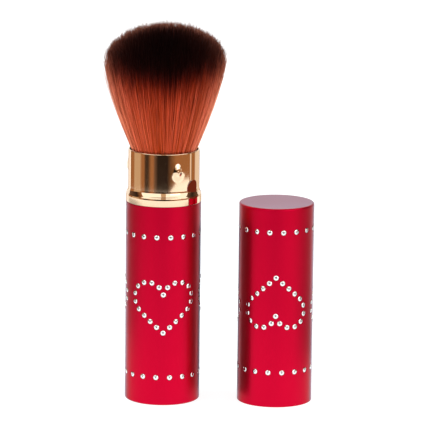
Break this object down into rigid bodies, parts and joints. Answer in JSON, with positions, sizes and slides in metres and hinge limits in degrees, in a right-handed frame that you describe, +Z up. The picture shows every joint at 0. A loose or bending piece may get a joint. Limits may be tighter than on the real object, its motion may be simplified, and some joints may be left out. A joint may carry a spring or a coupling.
{
  "type": "retractable makeup brush",
  "caption": "Slim powder brush with a domed bristle head, a bright collar that slides up over it, and a tall closed cap standing beside the stone-set barrel.",
  "frame": {"origin": "centre of the barrel's closed base, on the surface that the brush stands on", "axes": "+Z up along the barrel towards the bristles, -Y towards the front heart, +X towards the cap"},
  "size_m": [0.0629, 0.037, 0.1116],
  "materials": {
    "red_metal": "satin red anodised",
    "gold_metal": "polished pale gold anodised",
    "plain_metal": "drawn, plain",
    "black_plastic": "moulded",
    "slick_plastic": "moulded, self-coloured",
    "soft_rubber": "moulded",
    "bristle_fibre": "dyed synthetic filament, dark at the tips"
  },
  "bodies": {
    "barrel": {"barrel_shell": "red_metal", "base_plug": "black_plastic", "stem": "black_plastic", "ferrule": "plain_metal", "bristles": "bristle_fibre", "mouth_bushing": "slick_plastic"},
    "collar": {"collar_shell": "gold_metal", "guide_tube": "black_plastic", "friction_ring": "soft_rubber"},
    "cap": {"cap_shell": "red_metal"}
  },
  "joints": [
    {"name": "collar_slide", "type": "slide", "parent": "barrel", "child": "collar", "axis": [0, 0, 1], "range_m": [0, 0.038], "deforming": ["bristles"]},
    {"name": "cap_lift", "type": "slide", "parent": "barrel", "child": "cap", "axis": [0, 0, 1], "range_m": [0, 0.115]}
  ]
}
